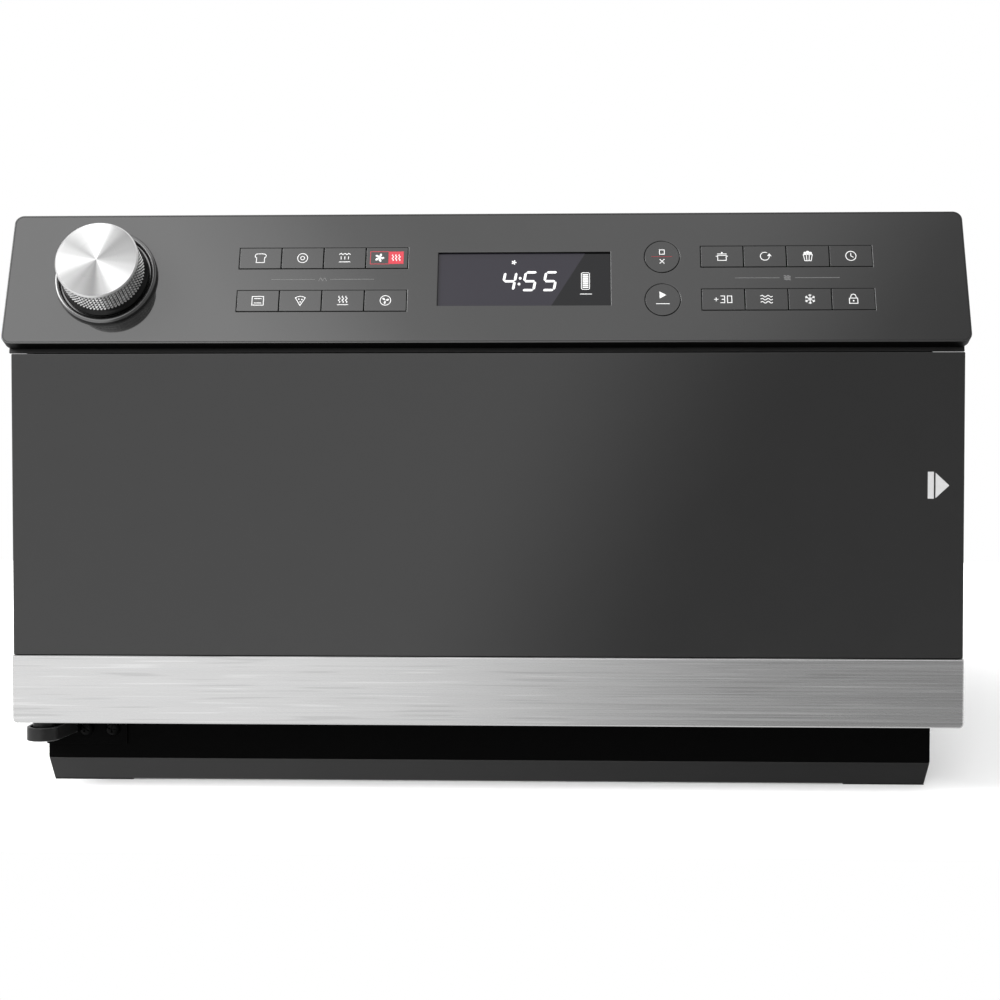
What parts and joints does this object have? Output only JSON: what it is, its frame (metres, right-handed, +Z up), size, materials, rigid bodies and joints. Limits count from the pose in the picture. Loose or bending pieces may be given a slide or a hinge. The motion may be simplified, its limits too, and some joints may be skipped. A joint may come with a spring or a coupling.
{
  "type": "toaster oven",
  "caption": "Countertop combination oven with a sloping control panel, a dial, push keys, a left-hinged glass door and a glass turntable in its cooking space.",
  "frame": {"origin": "on the counter, at the centre of the oven's outer box", "axes": "+Z up, the door faces -Y, +X to the right as seen from the front"},
  "size_m": [0.52, 0.4934, 0.3173],
  "materials": {
    "black_steel": "satin",
    "frame_black": "satin",
    "cavity_enamel": "satin",
    "panel_gloss": "gloss",
    "lens_smoke": "gloss",
    "black_plastic": "matte",
    "key_black": "gloss",
    "dark_glass": "gloss",
    "clear_glass": "gloss",
    "brushed_strip": "brushed",
    "zinc_steel": "satin",
    "spun_aluminium": "spun",
    "dark_chrome": "polished",
    "ivory_plastic": "matte",
    "board_green": "matte",
    "mica": "matte",
    "quartz": "satin",
    "element_steel": "matte",
    "foot_rubber": "matte"
  },
  "bodies": {
    "oven_body": {"cabinet_wrap": "black_steel", "base_pan": "black_plastic", "rear_panel": "black_steel", "front_frame": "frame_black", "oven_cavity": "cavity_enamel", "console_housing": "black_plastic", "control_panel": "panel_gloss", "display_lens": "lens_smoke", "control_board": "board_green", "dial_ring": "dark_chrome", "hinge_brackets": "black_steel", "turntable_motor": "zinc_steel", "grill_heater": "quartz", "grill_reflector": "zinc_steel", "convection_motor": "zinc_steel", "convection_heater": "element_steel", "magnetron": "zinc_steel", "transformer": "element_steel", "cooling_fan_motor": "element_steel", "cooling_fan_duct": "ivory_plastic", "waveguide_cover": "mica", "feet": "foot_rubber", "screws": "zinc_steel", "cord_gland": "black_plastic", "latch_switches": "ivory_plastic"},
    "door": {"door_glass": "dark_glass", "door_trim": "brushed_strip", "door_frame": "black_plastic", "door_choke_panel": "black_plastic", "door_inner_glass": "dark_glass"},
    "latch": {"door_latch": "ivory_plastic"},
    "dial": {"dial_knob": "dark_chrome", "dial_cap": "spun_aluminium", "encoder_shaft": "zinc_steel"},
    "turntable": {"turntable_plate": "clear_glass", "turntable_coupler": "ivory_plastic"},
    "roller_ring": {"roller_ring": "ivory_plastic"},
    "roller_1": {"roller_1": "ivory_plastic"},
    "roller_2": {"roller_2": "ivory_plastic"},
    "roller_3": {"roller_3": "ivory_plastic"},
    "convection_fan": {"convection_fan": "zinc_steel"},
    "cooling_fan": {"cooling_fan": "ivory_plastic"},
    "add_30_key": {"add_30_key": "key_black"},
    "air_fry_key": {"air_fry_key": "key_black"},
    "auto_cook_key": {"auto_cook_key": "key_black"},
    "bagel_key": {"bagel_key": "key_black"},
    "bake_key": {"bake_key": "key_black"},
    "broil_key": {"broil_key": "key_black"},
    "clock_key": {"clock_key": "key_black"},
    "convection_key": {"convection_key": "key_black"},
    "defrost_key": {"defrost_key": "key_black"},
    "lock_key": {"lock_key": "key_black"},
    "microwave_key": {"microwave_key": "key_black"},
    "pizza_key": {"pizza_key": "key_black"},
    "popcorn_key": {"popcorn_key": "key_black"},
    "reheat_key": {"reheat_key": "key_black"},
    "start_key": {"start_key": "key_black"},
    "stop_key": {"stop_key": "key_black"},
    "toast_key": {"toast_key": "key_black"},
    "warm_key": {"warm_key": "key_black"}
  },
  "joints": [
    {"name": "door_hinge", "type": "hinge", "parent": "oven_body", "child": "door", "pos_m": [-0.243, -0.21516, 0.1394], "axis": [0, 0, -1], "range_deg": [0, 110]},
    {"name": "latch_slide", "type": "slide", "parent": "door", "child": "latch", "axis": [0, 0, 1], "range_m": [0, 0.004], "stiffness_N_per_m": 300, "springref_m": -0.004},
    {"name": "dial_turn", "type": "hinge", "parent": "oven_body", "child": "dial", "pos_m": [-0.2056, -0.23856, 0.28923], "axis": [0, -0.9304, 0.3665], "continuous": true},
    {"name": "turntable_spin", "type": "hinge", "parent": "oven_body", "child": "turntable", "pos_m": [-0.05, -0.01216, 0.0686], "axis": [0, 0, 1], "continuous": true},
    {"name": "roller_ring_turn", "type": "hinge", "parent": "oven_body", "child": "roller_ring", "pos_m": [-0.05, -0.01216, 0.0613], "axis": [0, 0, 1], "continuous": true},
    {"name": "convection_fan_spin", "type": "hinge", "parent": "oven_body", "child": "convection_fan", "pos_m": [-0.05, 0.18284, 0.14], "axis": [0, -1, 0], "continuous": true},
    {"name": "cooling_fan_spin", "type": "hinge", "parent": "oven_body", "child": "cooling_fan", "pos_m": [0.1803, 0.22584, 0.15], "axis": [0, 1, 0], "continuous": true},
    {"name": "roller_1_roll", "type": "hinge", "parent": "roller_ring", "child": "roller_1", "pos_m": [0.0575, -0.01216, 0.0613], "axis": [1, 0, 0], "continuous": true},
    {"name": "roller_2_roll", "type": "hinge", "parent": "roller_ring", "child": "roller_2", "pos_m": [-0.10375, 0.08094, 0.0613], "axis": [-0.5, 0.866, 0], "continuous": true},
    {"name": "roller_3_roll", "type": "hinge", "parent": "roller_ring", "child": "roller_3", "pos_m": [-0.10375, -0.10526, 0.0613], "axis": [-0.5, -0.866, 0], "continuous": true},
    {"name": "add_30_key_press", "type": "slide", "parent": "oven_body", "child": "add_30_key", "axis": [0, 0.9304, -0.3665], "range_m": [0, 0.0007], "stiffness_N_per_m": 1200, "springref_m": -0.0004},
    {"name": "air_fry_key_press", "type": "slide", "parent": "oven_body", "child": "air_fry_key", "axis": [0, 0.9304, -0.3665], "range_m": [0, 0.0007], "stiffness_N_per_m": 1200, "springref_m": -0.0004},
    {"name": "auto_cook_key_press", "type": "slide", "parent": "oven_body", "child": "auto_cook_key", "axis": [0, 0.9304, -0.3665], "range_m": [0, 0.0007], "stiffness_N_per_m": 1200, "springref_m": -0.0004},
    {"name": "bagel_key_press", "type": "slide", "parent": "oven_body", "child": "bagel_key", "axis": [0, 0.9304, -0.3665], "range_m": [0, 0.0007], "stiffness_N_per_m": 1200, "springref_m": -0.0004},
    {"name": "bake_key_press", "type": "slide", "parent": "oven_body", "child": "bake_key", "axis": [0, 0.9304, -0.3665], "range_m": [0, 0.0007], "stiffness_N_per_m": 1200, "springref_m": -0.0004},
    {"name": "broil_key_press", "type": "slide", "parent": "oven_body", "child": "broil_key", "axis": [0, 0.9304, -0.3665], "range_m": [0, 0.0007], "stiffness_N_per_m": 1200, "springref_m": -0.0004},
    {"name": "clock_key_press", "type": "slide", "parent": "oven_body", "child": "clock_key", "axis": [0, 0.9304, -0.3665], "range_m": [0, 0.0007], "stiffness_N_per_m": 1200, "springref_m": -0.0004},
    {"name": "convection_key_press", "type": "slide", "parent": "oven_body", "child": "convection_key", "axis": [0, 0.9304, -0.3665], "range_m": [0, 0.0007], "stiffness_N_per_m": 1200, "springref_m": -0.0004},
    {"name": "defrost_key_press", "type": "slide", "parent": "oven_body", "child": "defrost_key", "axis": [0, 0.9304, -0.3665], "range_m": [0, 0.0007], "stiffness_N_per_m": 1200, "springref_m": -0.0004},
    {"name": "lock_key_press", "type": "slide", "parent": "oven_body", "child": "lock_key", "axis": [0, 0.9304, -0.3665], "range_m": [0, 0.0007], "stiffness_N_per_m": 1200, "springref_m": -0.0004},
    {"name": "microwave_key_press", "type": "slide", "parent": "oven_body", "child": "microwave_key", "axis": [0, 0.9304, -0.3665], "range_m": [0, 0.0007], "stiffness_N_per_m": 1200, "springref_m": -0.0004},
    {"name": "pizza_key_press", "type": "slide", "parent": "oven_body", "child": "pizza_key", "axis": [0, 0.9304, -0.3665], "range_m": [0, 0.0007], "stiffness_N_per_m": 1200, "springref_m": -0.0004},
    {"name": "popcorn_key_press", "type": "slide", "parent": "oven_body", "child": "popcorn_key", "axis": [0, 0.9304, -0.3665], "range_m": [0, 0.0007], "stiffness_N_per_m": 1200, "springref_m": -0.0004},
    {"name": "reheat_key_press", "type": "slide", "parent": "oven_body", "child": "reheat_key", "axis": [0, 0.9304, -0.3665], "range_m": [0, 0.0007], "stiffness_N_per_m": 1200, "springref_m": -0.0004},
    {"name": "start_key_press", "type": "slide", "parent": "oven_body", "child": "start_key", "axis": [0, 0.9304, -0.3665], "range_m": [0, 0.0007], "stiffness_N_per_m": 1200, "springref_m": -0.0004},
    {"name": "stop_key_press", "type": "slide", "parent": "oven_body", "child": "stop_key", "axis": [0, 0.9304, -0.3665], "range_m": [0, 0.0007], "stiffness_N_per_m": 1200, "springref_m": -0.0004},
    {"name": "toast_key_press", "type": "slide", "parent": "oven_body", "child": "toast_key", "axis": [0, 0.9304, -0.3665], "range_m": [0, 0.0007], "stiffness_N_per_m": 1200, "springref_m": -0.0004},
    {"name": "warm_key_press", "type": "slide", "parent": "oven_body", "child": "warm_key", "axis": [0, 0.9304, -0.3665], "range_m": [0, 0.0007], "stiffness_N_per_m": 1200, "springref_m": -0.0004}
  ],
  "couplings": [
    {"joint": "roller_ring_turn", "follows": "turntable_spin", "ratio": 0.5},
    {"joint": "roller_1_roll", "follows": "turntable_spin", "ratio": -7.6786},
    {"joint": "roller_2_roll", "follows": "turntable_spin", "ratio": -7.6786},
    {"joint": "roller_3_roll", "follows": "turntable_spin", "ratio": -7.6786}
  ]
}
